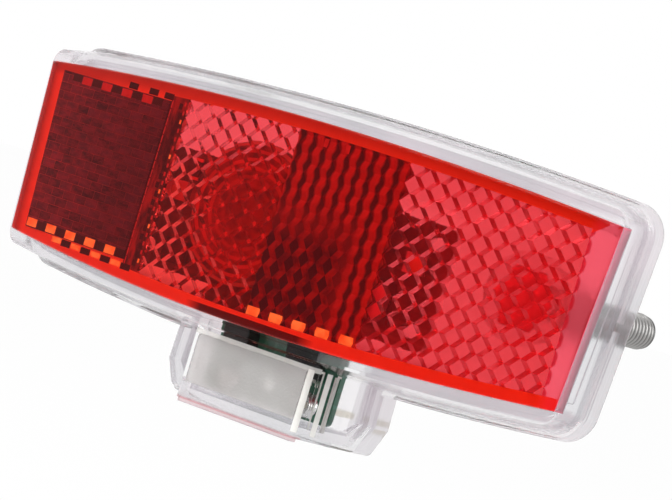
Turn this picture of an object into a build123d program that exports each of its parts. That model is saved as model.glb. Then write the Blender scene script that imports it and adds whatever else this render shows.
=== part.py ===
from build123d import *
import math
import os

os.makedirs("parts", exist_ok=True)

# Bicycle rear light for a carrier plate, in millimetres.
# x runs along the lens, +y points back to the carrier and +z up.
# The origin is the middle of the two studs, on the housing's flat back, which meets the carrier.

# Lens
lens_half_top = 52.3
lens_half_bottom = 50.5
lens_end_height = 12.5
lens_rise_top = 2.2
lens_rise_bottom = 2.5
lens_bow = 3.0
lens_thickness = 2.2
lens_corner = 0.8
lens_edge_break = 0.3

# Hexagonal prisms on the lens's inner face
prism_across = 2.5
prism_height = 0.65
prism_base = 0.25
prism_root = 0.5
prism_tilt = 26.0
prism_margin = 1.6
middle_field_left = -21.5
middle_field_right = 0.3
right_field_left = 19.0
right_field_margin = 2.7

# Fine reflex fields, as flat pads with rows of ridges
reflex_pad_height = 0.35
reflex_margin = 1.8
left_reflex_margin = 2.1
left_reflex_right = -24.4
centre_reflex_right = 18.6
ridge_pitch = 2.5
ridge_depth = 0.25

# Clear housing, given by how far it stands out past the lens
housing_end_top = 1.15
housing_end_bottom = 0.7
housing_over_top = 3.5
housing_over_bottom = 3.4
housing_rise_top = 2.0
housing_rise_bottom = 2.7
housing_corner = 4.5
wall = 1.8
rim_step = 0.6
tray_depth = 4.5
frame_depth = 6.0
tray_back_round = 2.4
edge_round = 0.5
frame_border = 1.2
frame_end_border = 0.35
frame_corner = 1.4
lens_proud = 0.35
lens_clearance = 0.1
ledge = 1.3
ledge_depth = 1.2
lip_height = 1.2
lip_thickness = 0.5
lip_clearance = 0.1

# Pocket below the housing
pocket_half_front = 10.9
pocket_half_rear = 13.1
pocket_bottom = 27.2
pocket_wall = 1.5
pocket_corner = 0.8
pocket_lip_drop = 0.5
pocket_lip_depth = 1.1
panel_side_margin = 0.8
panel_under = 2.0
panel_foot_margin = 2.4
panel_recess = 0.2
window_rib = 0.7
window_rib_height = 0.5
window_rib_depths = (2.5, 5.3)
flange_half_waist = 18.4
flange_half_belly = 18.7
flange_half_foot = 16.9
flange_sag = 0.5
flange_foot_rise = 0.9
flange_kink_rise = 4.0
flange_plate = 1.4
flange_round = 1.0
flange_corner = 0.8

# Studs and their bosses
stud_spacing = 80.0
stud_diameter = 5.0
stud_length = 25.0
stud_head_across = 8.0
stud_head_height = 2.0
stud_head_depth = 3.0
stud_chamfer = 0.6
stud_clearance = 0.05
stud_collar_diameter = 5.6
stud_collar_proud = 0.2
boss_diameter = 12.5
boss_head_rise = 0.3
boss_rib = 1.2

# Circuit board
board_half = 27.0
board_top = 6.0
board_bottom = 11.3
board_thickness = 1.6
board_corner = 1.5
tongue_half = 11.3
tongue_foot_gap = 2.4
tongue_corner = 1.2
neck_round = 1.2
post_width = 4.2
post_rib = 1.6
peg_diameter = 2.0
peg_clearance = 0.1
peg_proud = 0.6
post_x = 24.3
post_high = 3.3
post_low = 8.6
tongue_post_drop = 3.0

# Parts on the board
body_round = 0.25
capacitor_diameter = 20.5
capacitor_height = 5.0
capacitor_x = -7.6
capacitor_z = -0.3
capacitor_round = 0.8
capacitor_step = 0.4
capacitor_cap_diameter = 18.4
tab_width = 3.0
tab_thickness = 0.2
tab_foot = 1.4
tab_gap = 0.1
side_tab_height = 2.0
led_x = 22.0
led_z = 0.0
led_width = 3.5
led_length = 2.8
led_height = 1.9
led_bowl_diameter = 2.4
led_bowl_depth = 0.7
chip_x = 5.0
chip_z = -16.9
chip_width = 6.5
chip_length = 4.4
chip_height = 1.0
chip_standoff = 0.1
chip_mark_diameter = 0.8
chip_mark_depth = 0.08
chip_leg_pitch = 0.65
chip_leg_width = 0.25
chip_leg_thickness = 0.15
chip_leg_reach = 1.0
chip_legs = 10
bridge_x = -6.5
bridge_z = -16.7
bridge_width = 4.7
bridge_length = 3.9
bridge_height = 2.5
bridge_leg_pitch = 2.54
bridge_leg_width = 0.6
bridge_leg_thickness = 0.25
bridge_leg_reach = 1.2
suppressor_x = -18.8
suppressor_z = -8.4
suppressor_width = 4.4
suppressor_length = 3.4
suppressor_height = 2.2
suppressor_cap = 0.6
inductor_x = 9.6
inductor_z = -3.4
inductor_side = 6.0
inductor_height = 3.0
inductor_flange = 0.7
inductor_drum = 4.4
inductor_corner = 1.0
smoothing_x = 16.8
smoothing_z = -6.4
smoothing_diameter = 6.0
smoothing_height = 3.9
smoothing_base_side = 6.4
smoothing_base_height = 0.6
smoothing_base_cut = 1.3
smoothing_groove = 0.25
smoothing_groove_rise = 0.7
transistor_x = 15.6
transistor_z = 2.6
transistor_width = 2.9
transistor_length = 1.3
transistor_height = 1.0
transistor_leg_pitch = 0.95
transistor_leg_width = 0.4
transistor_leg_thickness = 0.15
transistor_leg_reach = 0.6
resistor_x = 19.8
resistor_z = 3.5
small_length = 3.2
small_width = 1.6
small_end = 0.5
small_end_step = 0.05
resistor_height = 0.55
ceramic_height = 1.1
ceramic_places = ((5.6, 3.2), (10.2, 3.2), (9.4, -11.9))
terminal_x = 7.0
terminal_inset = 2.0
terminal_width = 2.8
terminal_thickness = 0.8
terminal_reach = 6.5
terminal_taper = 0.7
terminal_point = 0.5
terminal_hole = 1.2
terminal_hole_from_end = 2.4
terminal_foot = 0.9
terminal_gap = 0.15
terminal_boss_width = 6.4
terminal_boss_height = 4.2
terminal_boss_rise = 1.2
solder_diameter = 3.6
solder_height = 0.7
solder_slope = 38.0

# Outlines and depths worked out from the driving sizes
housing_half_top = lens_half_top + housing_end_top
housing_half_bottom = lens_half_bottom + housing_end_bottom
housing_top = lens_end_height + housing_over_top
housing_bottom = lens_end_height + housing_over_bottom
panel_half = pocket_half_front - panel_side_margin
panel_top = housing_bottom + panel_under
panel_bottom = pocket_bottom - panel_foot_margin
flange_bottom = pocket_bottom + flange_sag
flange_foot = flange_bottom - flange_foot_rise
flange_kink = flange_foot - flange_kink_rise
tongue_bottom = pocket_bottom - tongue_foot_gap
terminal_z = terminal_inset - tongue_bottom
left_reflex_left = left_reflex_margin - lens_half_bottom
right_field_right = lens_half_bottom - right_field_margin
tray_back_y = 0.0
parting_y = tray_back_y - tray_depth
chord_y = parting_y - frame_depth
tray_floor_y = tray_back_y - wall
board_front_y = parting_y
board_back_y = board_front_y + board_thickness
ledge_y = chord_y + lens_thickness + ledge_depth
frame_front_y = chord_y - lens_bow - lens_proud
head_seat_y = chord_y + stud_head_depth + stud_head_height
stud_x = stud_spacing / 2
lens_half = (lens_half_top + lens_half_bottom) / 2
bow_radius = (lens_half**2 + lens_bow**2) / (2 * lens_bow)
plan_reach = housing_half_top + 4
tall = pocket_bottom + 10
deep = frame_depth + tray_depth + lens_bow + 10


def front_plane(y):
    """Plane of a front view: x to the right, z up, and positive lengths towards the viewer."""
    return Plane(origin=(0, y, 0), x_dir=(1, 0, 0), z_dir=(0, -1, 0))


def bow_y(x, depth):
    """Depth of the bowed lens at x, a given depth behind its front face."""
    return chord_y - lens_bow + depth + bow_radius - math.sqrt(bow_radius**2 - x**2)


def arched(half_top, top, rise_top, half_bottom, bottom, rise_bottom, corner):
    """Outline with straight leaning ends, arched long edges and rounded corners."""
    with BuildSketch() as outline:
        with BuildLine():
            upper = ThreePointArc((-half_top, top), (0, top + rise_top), (half_top, top))
            lower = ThreePointArc(
                (half_bottom, -bottom), (0, -bottom - rise_bottom), (-half_bottom, -bottom)
            )
            Line(upper @ 1, lower @ 0)
            Line(lower @ 1, upper @ 0)
        make_face()
        fillet(outline.vertices(), corner)
    return outline.sketch


def lens_outline(grow, corner):
    """Lens outline, grown or shrunk by a border."""
    lean = (lens_half_top - lens_half_bottom) / (2 * lens_end_height)
    return arched(
        lens_half_top + grow * (1 + lean),
        lens_end_height + grow,
        lens_rise_top,
        lens_half_bottom + grow * (1 - lean),
        lens_end_height + grow,
        lens_rise_bottom,
        corner,
    )


def frame_face_outline():
    """Front outline of the lens frame: a border along the top and bottom, and a thin one at the ends."""
    return arched(
        lens_half_top + frame_end_border,
        lens_end_height + frame_border,
        lens_rise_top,
        lens_half_bottom + frame_end_border,
        lens_end_height + frame_border,
        lens_rise_bottom,
        frame_corner,
    )


def housing_outline(inset):
    """Outline of the tray's main body, moved in by an inset."""
    return arched(
        housing_half_top - inset,
        housing_top - inset,
        housing_rise_top,
        housing_half_bottom - inset,
        housing_bottom - inset,
        housing_rise_bottom,
        max(housing_corner - inset, lens_corner),
    )


def flange_outline(inset):
    """Outline of the pocket's wide rear part, which runs up into the main body."""
    neck = housing_bottom - wall
    with BuildSketch() as outline:
        with BuildLine():
            right = Line(
                (flange_half_waist - inset, -neck), (flange_half_belly - inset, -flange_kink)
            )
            Line(right @ 1, (flange_half_foot - inset, -flange_foot + inset))
            foot = ThreePointArc(
                (flange_half_foot - inset, -flange_foot + inset),
                (0, -flange_bottom + inset),
                (-flange_half_foot + inset, -flange_foot + inset),
            )
            Line(foot @ 1, (-flange_half_belly + inset, -flange_kink))
            left = Line(
                (-flange_half_belly + inset, -flange_kink), (-flange_half_waist + inset, -neck)
            )
            Line(left @ 1, right @ 0)
        make_face()
        fillet(outline.vertices().group_by(Axis.Y)[0], flange_corner)
    return outline.sketch


def bowed_plate(outline, front, back):
    """Plate that follows the bow between two depths behind the lens face, cut to an outline."""
    with BuildPart() as plate:
        with BuildSketch(Plane.XY.offset(-tall)):
            with BuildLine():
                end_front = bow_y(plan_reach, front)
                end_back = bow_y(plan_reach, back)
                ThreePointArc(
                    (-plan_reach, end_front), (0, bow_y(0, front)), (plan_reach, end_front)
                )
                Line((plan_reach, end_front), (plan_reach, end_back))
                ThreePointArc(
                    (plan_reach, end_back), (0, bow_y(0, back)), (-plan_reach, end_back)
                )
                Line((-plan_reach, end_back), (-plan_reach, end_front))
            make_face()
        extrude(amount=2 * tall)
        with BuildSketch(front_plane(chord_y)):
            add(outline)
        extrude(amount=deep, both=True, mode=Mode.INTERSECT)
    return plate.part


def outline_slab(outline, y_from, y_to):
    """Straight slab of an outline between two depths."""
    with BuildPart() as slab:
        with BuildSketch(front_plane(y_to)):
            add(outline)
        extrude(amount=y_to - y_from)
    return slab.part


def pocket_block(inset, z_low, z_high, y_from, y_to):
    """Pocket with its plan widening to the rear, moved in by an inset."""
    slope = (pocket_half_rear - pocket_half_front) / frame_depth
    half_from = pocket_half_front + slope * (y_from - chord_y) - inset
    half_to = pocket_half_front + slope * (y_to - chord_y) - inset
    with BuildPart() as block:
        with BuildSketch(Plane.XY.offset(z_low)):
            Polygon(
                (-half_from, y_from), (half_from, y_from), (half_to, y_to), (-half_to, y_to),
                align=None,
            )
        extrude(amount=z_high - z_low)
    return block.part


def field_plane(x_left, x_right, depth):
    """Plane on the inner face of the bowed lens, square to it in the middle of a field."""
    x = (x_left + x_right) / 2
    lean = math.asin(x / bow_radius)
    return Plane(
        origin=(x, bow_y(x, depth), 0),
        x_dir=(-math.cos(lean), -math.sin(lean), 0),
        z_dir=(-math.sin(lean), math.cos(lean), 0),
    )


def prism_pin():
    """One hexagonal prism whose tip is three sloping faces."""
    length = prism_root + prism_height
    radius = prism_across / math.sqrt(3)
    slope = math.tan(math.radians(prism_tilt))
    with BuildPart() as pin:
        with BuildSketch():
            RegularPolygon(radius, 6)
        extrude(amount=length)
        for turn in (60, 180, 300):
            side = math.radians(turn)
            tip = Plane(
                origin=(0, 0, length), z_dir=(slope * math.cos(side), slope * math.sin(side), 1)
            )
            split(bisect_by=tip, keep=Keep.BOTTOM)
    return pin.part


def prism_places(x_left, x_right):
    """Centres of the prisms of one field, measured from the field's middle."""
    column = prism_across * math.sqrt(3) / 2
    middle = (x_left + x_right) / 2
    count = int((x_right - x_left - prism_across) / 2 / column)
    places = []
    for i in range(-count, count + 1):
        x = i * column
        share = ((middle - x) / lens_half) ** 2
        low = lens_end_height + lens_rise_bottom * (1 - share) - prism_margin
        high = lens_end_height + lens_rise_top * (1 - share) - prism_margin
        shift = prism_across / 2 if i % 2 else 0
        rows = int((low + high) / prism_across)
        for j in range(-rows, rows + 1):
            z = j * prism_across + shift
            if -low < z - prism_across / 2 and z + prism_across / 2 < high:
                places.append((x, z, prism_base - prism_root))
    return places


def field_pad(x_left, x_right, height):
    """Flat pad on the inner face of the lens, which a field stands on."""
    with BuildPart() as pad:
        with BuildSketch(field_plane(x_left, x_right, lens_thickness - prism_root)):
            Rectangle(x_right - x_left, 2 * (lens_end_height - reflex_margin))
        extrude(amount=prism_root + height)
    return pad.part


def reflex_pad(x_left, x_right):
    """Flat pad of a fine reflex field, cut across by straight grooves."""
    plane = field_plane(x_left, x_right, lens_thickness)
    width = x_right - x_left
    grooves = int(2 * (lens_end_height - reflex_margin) / ridge_pitch)
    with BuildPart() as pad:
        add(field_pad(x_left, x_right, reflex_pad_height))
        with BuildSketch(plane.offset(reflex_pad_height)):
            with GridLocations(0, ridge_pitch, 1, grooves):
                Rectangle(width, ridge_pitch / 10)
        extrude(amount=-ridge_depth, mode=Mode.SUBTRACT)
    return pad.part


def board_body(place, size, height, standoff, rounding):
    """Moulded body standing on the board, its front edges rounded."""
    with BuildPart() as body:
        with BuildSketch(front_plane(board_front_y - standoff)):
            with Locations(place):
                Rectangle(*size)
        extrude(amount=height)
        if rounding > 0:
            fillet(body.faces().sort_by(Axis.Y)[0].edges(), rounding)
    return body.part


def end_capped(place, size, height, along):
    """Small chip part with a metal cap over each end, which stands a little proud."""
    reach = (max(size) - small_end) / 2
    cap = [small_end if way else side + 2 * small_end_step for way, side in zip(along, size)]
    with BuildPart() as chip:
        add(board_body(place, size, height, 0, 0))
        with BuildSketch(front_plane(board_front_y)):
            for side in (-1, 1):
                spot = [at + side * reach * way for at, way in zip(place, along)]
                with Locations(tuple(spot)):
                    Rectangle(*cap)
        extrude(amount=height + small_end_step)
    return chip.part


def lead_row(x, z, count, pitch, side):
    """Places of a row of leads: x, z and the side of the body that they leave by."""
    return [(x + (i - (count - 1) / 2) * pitch, z, side) for i in range(count)]


def bent_leads(places, rise, size):
    """Leads that leave a body at a height over the board and bend down to stand on it."""
    reach, width, thickness = size
    knee = 0.3 * reach
    heel = 0.6 * reach
    with BuildPart() as leads:
        for x, z, side in places:
            plane = Plane(origin=(x, board_front_y, z), x_dir=(0, 0, side), z_dir=(side, 0, 0))
            with BuildSketch(plane):
                Polygon(
                    (0, rise - thickness / 2),
                    (0, rise + thickness / 2),
                    (knee, rise + thickness / 2),
                    (heel, thickness),
                    (reach, thickness),
                    (reach, 0),
                    (heel - thickness, 0),
                    (knee - thickness, rise - thickness / 2),
                    align=None,
                )
            extrude(amount=width / 2, both=True)
    return leads


# Red lens: a bowed plate with two fields of prisms and two fine reflex pads inside
pin = prism_pin()
with BuildPart() as red_lens:
    add(bowed_plate(lens_outline(0, lens_corner), 0, lens_thickness))
    chamfer(red_lens.faces().sort_by(Axis.Y)[0].edges(), lens_edge_break)
    add(reflex_pad(left_reflex_left, left_reflex_right))
    add(reflex_pad(middle_field_right, centre_reflex_right))
    for left, right in (
        (middle_field_left, middle_field_right),
        (right_field_left, right_field_right),
    ):
        add(field_pad(left, right, prism_base))
        plane = field_plane(left, right, lens_thickness)
        places = [plane * Location(place) for place in prism_places(left, right)]
        with Locations(*places):
            add(pin)
red_lens.part.label = "red_lens"
export_step(red_lens.part, "parts/red_lens.step")


# Lens frame: clear shell in front of the parting plane, with the front of the pocket
pocket_inner_y = chord_y + pocket_wall
cavity_low = housing_bottom + housing_rise_bottom - rim_step - wall
rim_outline = housing_outline(wall + lip_clearance) + flange_outline(wall + lip_clearance)
rim_hole = housing_outline(rim_step + wall) + flange_outline(rim_step + wall)
seat = bowed_plate(lens_outline(lens_clearance, lens_corner), -deep, lens_thickness)

with BuildPart() as pocket_front:
    add(pocket_block(0, -pocket_bottom, -housing_bottom, chord_y, parting_y))
    fillet(pocket_front.edges().filter_by(Axis.Z).group_by(Axis.Y)[0], pocket_corner)
    add(
        pocket_block(
            edge_round,
            -pocket_bottom - pocket_lip_drop,
            -pocket_bottom + pocket_wall,
            chord_y,
            chord_y + pocket_lip_depth,
        )
    )
    with BuildSketch(front_plane(chord_y)):
        with Locations((0, -(panel_top + panel_bottom) / 2)):
            RectangleRounded(2 * panel_half, panel_bottom - panel_top, pocket_corner)
    extrude(amount=-panel_recess, mode=Mode.SUBTRACT)

with BuildPart() as window_ribs:
    for depth in window_rib_depths:
        rib_y = chord_y + depth
        add(
            pocket_block(
                pocket_wall / 2, -pocket_bottom + pocket_wall / 2, -panel_top, rib_y, rib_y + window_rib
            )
        )
    add(
        pocket_block(
            pocket_wall + window_rib_height, -pocket_bottom, 0, chord_y, parting_y + window_rib
        ),
        mode=Mode.SUBTRACT,
    )

with BuildPart() as lens_frame:
    with BuildSketch(front_plane(frame_front_y)):
        add(frame_face_outline())
    with BuildSketch(front_plane(parting_y)):
        add(housing_outline(rim_step))
    loft()
    add(bowed_plate(housing_outline(0), lens_proud, deep), mode=Mode.INTERSECT)
    add(pocket_front.part)
    add(outline_slab(flange_outline(rim_step), parting_y - flange_plate, parting_y))
    add(outline_slab(rim_outline, parting_y, parting_y + lip_height))
    add(outline_slab(rim_hole, parting_y, parting_y + lip_height), mode=Mode.SUBTRACT)
    add(seat, mode=Mode.SUBTRACT)
    add(
        outline_slab(lens_outline(-ledge, lens_corner), frame_front_y, ledge_y + wall),
        mode=Mode.SUBTRACT,
    )
    add(outline_slab(housing_outline(rim_step + wall), ledge_y, parting_y), mode=Mode.SUBTRACT)
    add(
        pocket_block(
            pocket_wall,
            -pocket_bottom + pocket_wall,
            -cavity_low + edge_round,
            pocket_inner_y,
            parting_y,
        ),
        mode=Mode.SUBTRACT,
    )
    add(window_ribs.part)
lens_frame.part.label = "lens_frame"
export_step(lens_frame.part, "parts/lens_frame.step")


# Rear tray: clear shell behind the parting plane, with the stud bosses, and ribbed posts whose
# hexagonal pegs press into the board's round holes
boss_front_y = chord_y + stud_head_depth + boss_head_rise
rib_top_y = parting_y + lip_height + lip_clearance
rib_end = (housing_half_top + housing_half_bottom) / 2 - wall / 2
stud_places = [(-stud_x, 0), (stud_x, 0)]
post_places = [
    (-post_x, post_high),
    (post_x, post_high),
    (-post_x, -post_low),
    (post_x, -post_low),
    (0, -tongue_bottom + tongue_post_drop),
]
terminal_places = [(-terminal_x, terminal_z), (terminal_x, terminal_z)]

with BuildPart() as tray_flange:
    with BuildSketch(front_plane(tray_back_y)):
        add(flange_outline(0))
    extrude(amount=tray_depth)
    fillet(
        tray_flange.faces().sort_by(Axis.Y)[-1].edges().sort_by(Axis.Z)[:-1],
        flange_round,
    )

with BuildPart() as rear_tray:
    with BuildSketch(front_plane(tray_back_y)):
        add(housing_outline(0))
    extrude(amount=tray_depth)
    fillet(rear_tray.faces().sort_by(Axis.Y)[-1].edges(), tray_back_round)
    chamfer(rear_tray.faces().sort_by(Axis.Y)[0].edges(), edge_round / 2)
    add(tray_flange.part)
    add(
        outline_slab(housing_outline(wall) + flange_outline(wall), tray_floor_y, parting_y),
        mode=Mode.SUBTRACT,
    )
    with BuildSketch(front_plane(tray_back_y)):
        with Locations(*stud_places):
            Circle(boss_diameter / 2)
    extrude(amount=tray_back_y - boss_front_y)
    with BuildSketch(front_plane(tray_floor_y)):
        with Locations((-(stud_x + rib_end) / 2, 0), ((stud_x + rib_end) / 2, 0)):
            Rectangle(rib_end - stud_x, boss_rib)
    extrude(amount=tray_floor_y - rib_top_y)
    with BuildSketch(front_plane(tray_back_y)):
        with Locations(*stud_places):
            Circle(stud_collar_diameter / 2 + stud_clearance)
    extrude(amount=tray_back_y - boss_front_y, mode=Mode.SUBTRACT)
    with BuildSketch(front_plane(head_seat_y)):
        with Locations(*stud_places):
            RegularPolygon(stud_head_across / 2 + stud_clearance, 6, major_radius=False)
    extrude(amount=head_seat_y - boss_front_y, mode=Mode.SUBTRACT)
    with BuildSketch(front_plane(tray_floor_y)):
        with Locations(*post_places):
            Rectangle(post_width, post_rib)
            Rectangle(post_rib, post_width)
    extrude(amount=tray_floor_y - board_back_y)
    with BuildSketch(front_plane(board_back_y)):
        with Locations(*post_places):
            RegularPolygon(peg_diameter / 2, 6)
    extrude(amount=board_thickness + peg_proud)
    with BuildSketch(front_plane(tray_back_y)) as terminal_bosses:
        with Locations(*terminal_places):
            Rectangle(terminal_boss_width, terminal_boss_height)
        chamfer(terminal_bosses.vertices(), edge_round)
    extrude(amount=-terminal_boss_rise)
    with BuildSketch(front_plane(tray_back_y + terminal_boss_rise)):
        with Locations(*terminal_places):
            Rectangle(terminal_width + 2 * terminal_gap, terminal_thickness + 2 * terminal_gap)
    extrude(amount=terminal_boss_rise + wall, mode=Mode.SUBTRACT)
rear_tray.part.label = "rear_tray"
export_step(rear_tray.part, "parts/rear_tray.step")


# Studs: low-headed hexagon bolts caught in the bosses, with a plain collar through the tray
for name, x in (("stud_left", -stud_x), ("stud_right", stud_x)):
    with BuildPart() as stud:
        with BuildSketch(front_plane(head_seat_y)):
            with Locations((x, 0)):
                RegularPolygon(stud_head_across / 2, 6, major_radius=False)
        extrude(amount=stud_head_height)
        with BuildSketch(front_plane(head_seat_y)):
            with Locations((x, 0)):
                Circle(stud_diameter / 2)
        extrude(amount=-stud_length)
        chamfer(stud.faces().sort_by(Axis.Y)[-1].edges(), stud_chamfer)
        with BuildSketch(front_plane(head_seat_y)):
            with Locations((x, 0)):
                Circle(stud_collar_diameter / 2)
        extrude(amount=-(tray_back_y + stud_collar_proud - head_seat_y))
    stud.part.label = name
    export_step(stud.part, f"parts/{name}.step")


# Circuit board: main area behind the lens and a tongue down into the pocket
with BuildPart() as circuit_board:
    with BuildSketch(front_plane(board_back_y)) as board_outline:
        with Locations((0, (board_top - board_bottom) / 2)):
            Rectangle(2 * board_half, board_top + board_bottom)
        with Locations((0, -tongue_bottom / 2)):
            Rectangle(2 * tongue_half, tongue_bottom)
        corners = board_outline.vertices()
        inner = corners.filter_by_position(Axis.X, -tongue_half - 1, tongue_half + 1)
        fillet(inner.sort_by(Axis.Y)[:2], tongue_corner)
        fillet(
            board_outline.vertices().filter_by_position(Axis.X, -board_half, -board_half)
            + board_outline.vertices().filter_by_position(Axis.X, board_half, board_half),
            board_corner,
        )
        with Locations(*post_places):
            Circle(peg_diameter / 2 + peg_clearance, mode=Mode.SUBTRACT)
        with Locations(*terminal_places):
            Rectangle(
                terminal_width - 2 * terminal_taper + 2 * terminal_gap,
                terminal_thickness + 2 * terminal_gap,
                mode=Mode.SUBTRACT,
            )
    extrude(amount=board_thickness)
circuit_board.part.label = "circuit_board"
export_step(circuit_board.part, "parts/circuit_board.step")


# Connection blades through the tray, and the joints that hold them to the board
for name, x in (("terminal_live", -terminal_x), ("terminal_earth", terminal_x)):
    blade_end = tray_back_y + terminal_boss_rise + terminal_reach
    with BuildPart() as terminal:
        with BuildSketch(Plane.XY.offset(terminal_z)):
            with Locations((x, (board_back_y + blade_end) / 2)):
                Rectangle(terminal_width, blade_end - board_back_y)
            with Locations((x, (board_front_y - terminal_foot + board_back_y) / 2)):
                Rectangle(
                    terminal_width - 2 * terminal_taper, board_thickness + terminal_foot
                )
            with Locations((x, blade_end - terminal_hole_from_end)):
                Circle(terminal_hole / 2, mode=Mode.SUBTRACT)
        extrude(amount=terminal_thickness / 2, both=True)
        tip = terminal.faces().sort_by(Axis.Y)[-1]
        chamfer(tip.edges().filter_by(Axis.Z), terminal_point)
    terminal.part.label = name
    export_step(terminal.part, f"parts/{name}.step")

with BuildPart() as solder_joints:
    with BuildSketch(front_plane(board_front_y)):
        with Locations(*terminal_places):
            Circle(solder_diameter / 2)
    extrude(amount=solder_height, taper=solder_slope)
    with BuildSketch(front_plane(board_front_y)):
        with Locations(*terminal_places):
            Rectangle(terminal_width - 2 * terminal_taper, terminal_thickness)
    extrude(amount=solder_height, mode=Mode.SUBTRACT)
solder_joints.part.label = "solder_joints"
export_step(solder_joints.part, "parts/solder_joints.step")


# Storage capacitor and its two connecting tabs
capacitor_front_y = board_front_y - capacitor_height
with BuildPart() as storage_capacitor:
    with BuildSketch(front_plane(board_front_y)):
        with Locations((capacitor_x, capacitor_z)):
            Circle(capacitor_diameter / 2)
    extrude(amount=capacitor_height - capacitor_step)
    chamfer(storage_capacitor.faces().sort_by(Axis.Y)[0].edges(), capacitor_round)
    with BuildSketch(front_plane(capacitor_front_y + capacitor_step)):
        with Locations((capacitor_x, capacitor_z)):
            Circle(capacitor_cap_diameter / 2)
    extrude(amount=capacitor_step)
storage_capacitor.part.label = "storage_capacitor"
export_step(storage_capacitor.part, "parts/storage_capacitor.step")

with BuildPart() as capacitor_tabs:
    with BuildSketch(Plane.XY.offset(capacitor_z)):
        right_edge = capacitor_x + capacitor_diameter / 2 + tab_gap
        left_edge = capacitor_x - capacitor_diameter / 2 - tab_gap
        tab_front_y = capacitor_front_y - tab_thickness
        foot_y = board_front_y - tab_thickness
        Polygon(
            (capacitor_x, capacitor_front_y),
            (capacitor_x, tab_front_y),
            (right_edge + tab_thickness, tab_front_y),
            (right_edge + tab_thickness, foot_y),
            (right_edge + tab_foot, foot_y),
            (right_edge + tab_foot, board_front_y),
            (right_edge, board_front_y),
            (right_edge, capacitor_front_y),
            align=None,
        )
        Polygon(
            (left_edge, board_front_y),
            (left_edge, board_front_y - side_tab_height),
            (left_edge - tab_thickness, board_front_y - side_tab_height),
            (left_edge - tab_thickness, foot_y),
            (left_edge - tab_foot, foot_y),
            (left_edge - tab_foot, board_front_y),
            align=None,
        )
    extrude(amount=tab_width / 2, both=True)
capacitor_tabs.part.label = "capacitor_tabs"
export_step(capacitor_tabs.part, "parts/capacitor_tabs.step")


# Light-emitting diodes, with the bowl the light leaves by
for name, x in (("led_left", -led_x), ("led_right", led_x)):
    with BuildPart() as led:
        add(board_body((x, led_z), (led_width, led_length), led_height, 0, 0))
        with BuildSketch(front_plane(board_front_y - led_height)):
            with Locations((x, led_z)):
                Circle(led_bowl_diameter / 2)
        extrude(amount=-led_bowl_depth, taper=20, mode=Mode.SUBTRACT)
    led.part.label = name
    export_step(led.part, f"parts/{name}.step")


# Control chip with its two rows of leads
with BuildPart() as control_chip:
    add(
        board_body(
            (chip_x, chip_z), (chip_width, chip_length), chip_height, chip_standoff, body_round
        )
    )
    with BuildSketch(front_plane(board_front_y - chip_standoff - chip_height)):
        with Locations(
            (
                chip_x - chip_width / 2 + chip_mark_diameter,
                chip_z - chip_length / 2 + chip_mark_diameter,
            )
        ):
            Circle(chip_mark_diameter / 2)
    extrude(amount=-chip_mark_depth, mode=Mode.SUBTRACT)
control_chip.part.label = "control_chip"
export_step(control_chip.part, "parts/control_chip.step")

chip_leads = bent_leads(
    lead_row(chip_x, chip_z + chip_length / 2, chip_legs, chip_leg_pitch, 1)
    + lead_row(chip_x, chip_z - chip_length / 2, chip_legs, chip_leg_pitch, -1),
    chip_standoff + chip_height / 2,
    (chip_leg_reach, chip_leg_width, chip_leg_thickness),
)
chip_leads.part.label = "chip_leads"
export_step(chip_leads.part, "parts/chip_leads.step")


# Bridge rectifier with its four leads
with BuildPart() as bridge_rectifier:
    add(
        board_body(
            (bridge_x, bridge_z), (bridge_width, bridge_length), bridge_height, 0, body_round
        )
    )
bridge_rectifier.part.label = "bridge_rectifier"
export_step(bridge_rectifier.part, "parts/bridge_rectifier.step")

rectifier_leads = bent_leads(
    lead_row(bridge_x, bridge_z + bridge_length / 2, 2, bridge_leg_pitch, 1)
    + lead_row(bridge_x, bridge_z - bridge_length / 2, 2, bridge_leg_pitch, -1),
    bridge_height / 2,
    (bridge_leg_reach, bridge_leg_width, bridge_leg_thickness),
)
rectifier_leads.part.label = "rectifier_leads"
export_step(rectifier_leads.part, "parts/rectifier_leads.step")


# Surge suppressor with its folded end caps
with BuildPart() as suppressor_diode:
    add(
        board_body(
            (suppressor_x, suppressor_z),
            (suppressor_width, suppressor_length),
            suppressor_height,
            0,
            body_round,
        )
    )
    with BuildSketch(front_plane(board_front_y)):
        with Locations((suppressor_x, suppressor_z)):
            Rectangle(suppressor_width + suppressor_cap, suppressor_length - suppressor_cap * 2)
    extrude(amount=suppressor_height / 2)
suppressor_diode.part.label = "suppressor_diode"
export_step(suppressor_diode.part, "parts/suppressor_diode.step")


# Storage inductor: a drum between two flanges
with BuildPart() as storage_inductor:
    inductor_front_y = board_front_y - inductor_height
    for flange_y in (board_front_y, inductor_front_y + inductor_flange):
        with BuildSketch(front_plane(flange_y)) as drum_flange:
            with Locations((inductor_x, inductor_z)):
                Rectangle(inductor_side, inductor_side)
            chamfer(drum_flange.vertices(), inductor_corner)
        extrude(amount=inductor_flange)
    with BuildSketch(front_plane(board_front_y)):
        with Locations((inductor_x, inductor_z)):
            Circle(inductor_drum / 2)
    extrude(amount=inductor_height)
storage_inductor.part.label = "storage_inductor"
export_step(storage_inductor.part, "parts/storage_inductor.step")


# Smoothing capacitor can on its moulded base
with BuildPart() as smoothing_base:
    with BuildSketch(front_plane(board_front_y)) as base_outline:
        with Locations((smoothing_x, smoothing_z)):
            Rectangle(smoothing_base_side, smoothing_base_side)
        chamfer(base_outline.vertices().group_by(Axis.X)[0], smoothing_base_cut)
    extrude(amount=smoothing_base_height)
smoothing_base.part.label = "smoothing_base"
export_step(smoothing_base.part, "parts/smoothing_base.step")

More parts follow.
